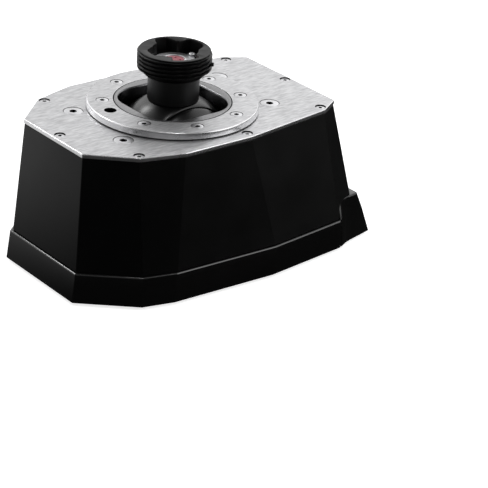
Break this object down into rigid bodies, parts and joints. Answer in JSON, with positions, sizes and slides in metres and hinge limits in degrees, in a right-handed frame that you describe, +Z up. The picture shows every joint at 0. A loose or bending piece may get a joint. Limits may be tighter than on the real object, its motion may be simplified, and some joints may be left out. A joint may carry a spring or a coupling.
{
  "type": "flight joystick base",
  "caption": "Faceted flight joystick base with a metal top plate, clamp ring, square gate and a two-axis sprung stem with a threaded collar for a grip.",
  "frame": {"origin": "on the table, under the middle of the object's box", "axes": "+X to the user's right, +Y towards the rear (away from the user), +Z up"},
  "size_m": [0.1136, 0.1722, 0.104],
  "materials": {
    "brushed_plate": "brushed, bright bevels",
    "gate": "satin",
    "casing": "fine satin black",
    "gloss_skirt": "gloss black",
    "stick_black": "satin black",
    "screw_steel": "turned steel",
    "steel": "ground steel",
    "gimbal_alloy": "machined",
    "socket_insert": "matte",
    "circuit_board": "solder mask",
    "foot_rubber": "matte rubber"
  },
  "bodies": {
    "base": {"top_plate": "brushed_plate", "clamp_ring": "brushed_plate", "gate_liner": "gate", "upper_housing": "casing", "lower_housing": "gloss_skirt", "bottom_cover": "casing", "usb_socket": "steel", "main_board": "circuit_board", "gimbal_frame": "gimbal_alloy", "roll_bearing_front": "steel", "roll_bearing_rear": "steel", "roll_spring_left": "steel", "roll_spring_right": "steel", "roll_sensor_board": "circuit_board", "ring_screw_1": "screw_steel", "ring_screw_2": "screw_steel", "ring_screw_3": "screw_steel", "ring_screw_4": "screw_steel", "ring_screw_5": "screw_steel", "ring_screw_6": "screw_steel", "ring_screw_7": "screw_steel", "ring_screw_8": "screw_steel", "gimbal_screw_1": "screw_steel", "gimbal_screw_2": "screw_steel", "gimbal_screw_3": "screw_steel", "gimbal_screw_4": "screw_steel", "plate_screw_1": "screw_steel", "plate_screw_2": "screw_steel", "plate_screw_3": "screw_steel", "plate_screw_4": "screw_steel", "plate_screw_5": "screw_steel", "plate_screw_6": "screw_steel", "plate_screw_7": "screw_steel", "plate_screw_8": "screw_steel", "rubber_foot_1": "foot_rubber", "rubber_foot_2": "foot_rubber", "rubber_foot_3": "foot_rubber", "rubber_foot_4": "foot_rubber"},
    "yoke": {"roll_yoke": "gimbal_alloy", "roll_axle_front": "steel", "roll_axle_rear": "steel", "pitch_bearing_left": "steel", "pitch_bearing_right": "steel", "yoke_cover_left": "stick_black", "yoke_cover_right": "stick_black", "roll_magnet": "steel", "pitch_sensor_board": "circuit_board", "pitch_spring_front": "steel", "pitch_spring_rear": "steel"},
    "stick": {"stick_hub": "gimbal_alloy", "pitch_axle": "steel", "pitch_magnet": "steel", "stick_dome": "stick_black", "stem_tube": "stick_black", "threaded_collar": "stick_black", "collar_lock_pin": "stick_black", "grip_socket": "steel", "socket_insert": "socket_insert", "socket_screw": "steel"}
  },
  "joints": [
    {"name": "roll_hinge", "type": "hinge", "parent": "base", "child": "yoke", "pos_m": [0, -0.0098, 0.0514], "axis": [0, 1, 0], "range_deg": [-18, 18], "stiffness_Nm_per_rad": 1.2, "deforming": ["roll_spring_left", "roll_spring_right"]},
    {"name": "pitch_hinge", "type": "hinge", "parent": "yoke", "child": "stick", "pos_m": [0, -0.0098, 0.0514], "axis": [1, 0, 0], "range_deg": [-18, 18], "stiffness_Nm_per_rad": 1.2, "deforming": ["pitch_spring_front", "pitch_spring_rear"]}
  ]
}
